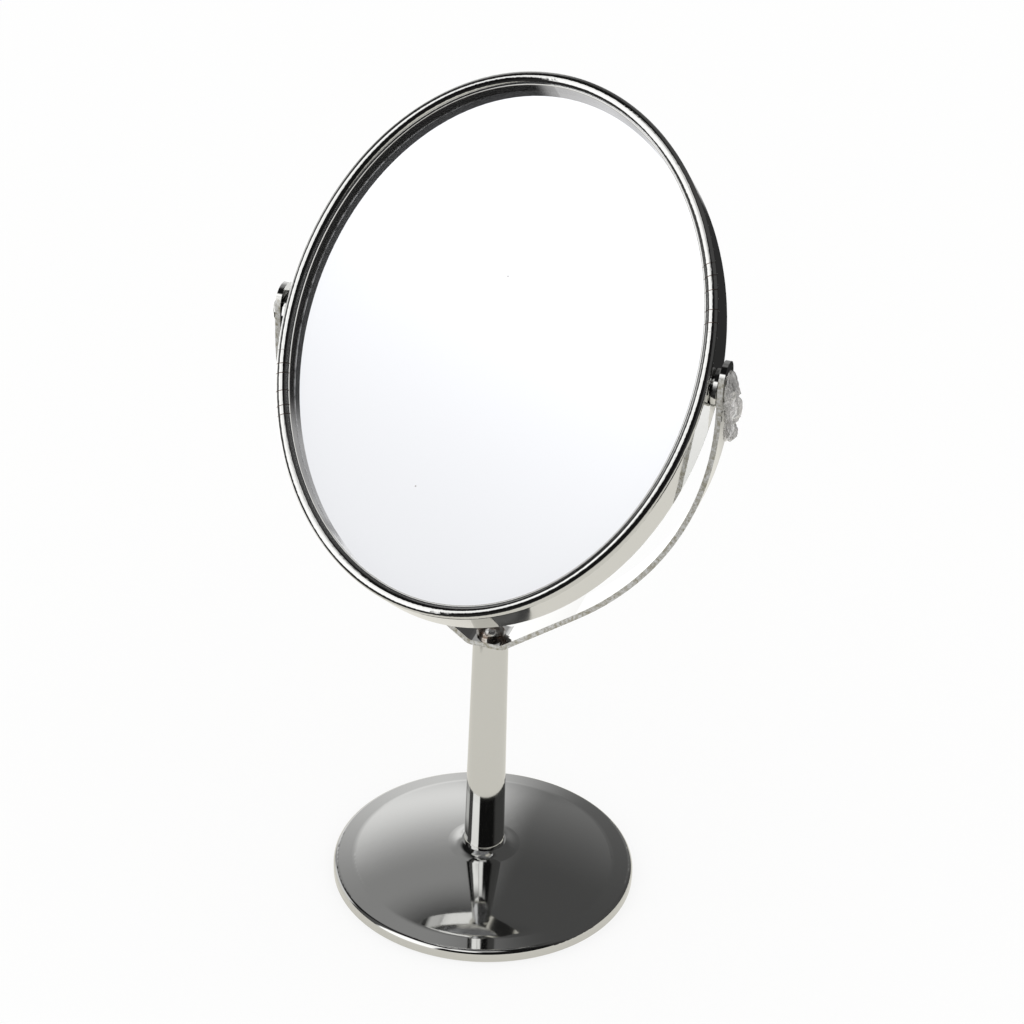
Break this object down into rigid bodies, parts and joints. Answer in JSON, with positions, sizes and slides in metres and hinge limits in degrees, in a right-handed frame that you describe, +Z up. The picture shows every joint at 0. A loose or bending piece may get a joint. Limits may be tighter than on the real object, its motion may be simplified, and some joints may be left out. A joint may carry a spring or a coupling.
{
  "type": "shaving mirror",
  "caption": "Free-standing chrome shaving mirror: an oval two-sided head that tilts and flips in a bent yoke, on a tapered stem and a weighted round foot.",
  "frame": {"origin": "middle of the foot's underside, on the table", "axes": "+Z up along the stem, X along the tilt axis, the front mirror faces -Y"},
  "size_m": [0.1502, 0.1233, 0.2682],
  "materials": {
    "chrome": "polished bright chrome plate",
    "mirror_glass": "silvered float glass",
    "board": "plain grey backing board",
    "steel": "plain turned steel",
    "nylon": "natural nylon",
    "iron": "raw casting",
    "foam_rubber": "black foam rubber",
    "clear_film": "crumpled clear packing film"
  },
  "bodies": {
    "stand": {"yoke": "chrome", "yoke_screw": "chrome", "yoke_washer": "chrome", "stem": "chrome", "stem_head_insert": "steel", "stem_foot_insert": "steel", "base_shell": "chrome", "base_weight": "iron", "base_washer": "steel", "base_screw": "steel", "base_pad": "foam_rubber", "knob_film": "clear_film"},
    "head": {"bezel": "chrome", "casing": "chrome", "front_glass": "mirror_glass", "rear_glass": "mirror_glass", "front_backing_board": "board", "rear_backing_board": "board", "left_pivot_block": "steel", "right_pivot_block": "steel", "left_pivot_boss": "chrome", "right_pivot_boss": "chrome", "left_pivot_washer": "nylon", "right_pivot_washer": "nylon", "left_pivot_screw": "chrome", "right_pivot_screw": "chrome"}
  },
  "joints": [
    {"name": "head_tilt", "type": "hinge", "parent": "stand", "child": "head", "pos_m": [0, 0, 0.197], "axis": [1, 0, 0], "continuous": true}
  ]
}
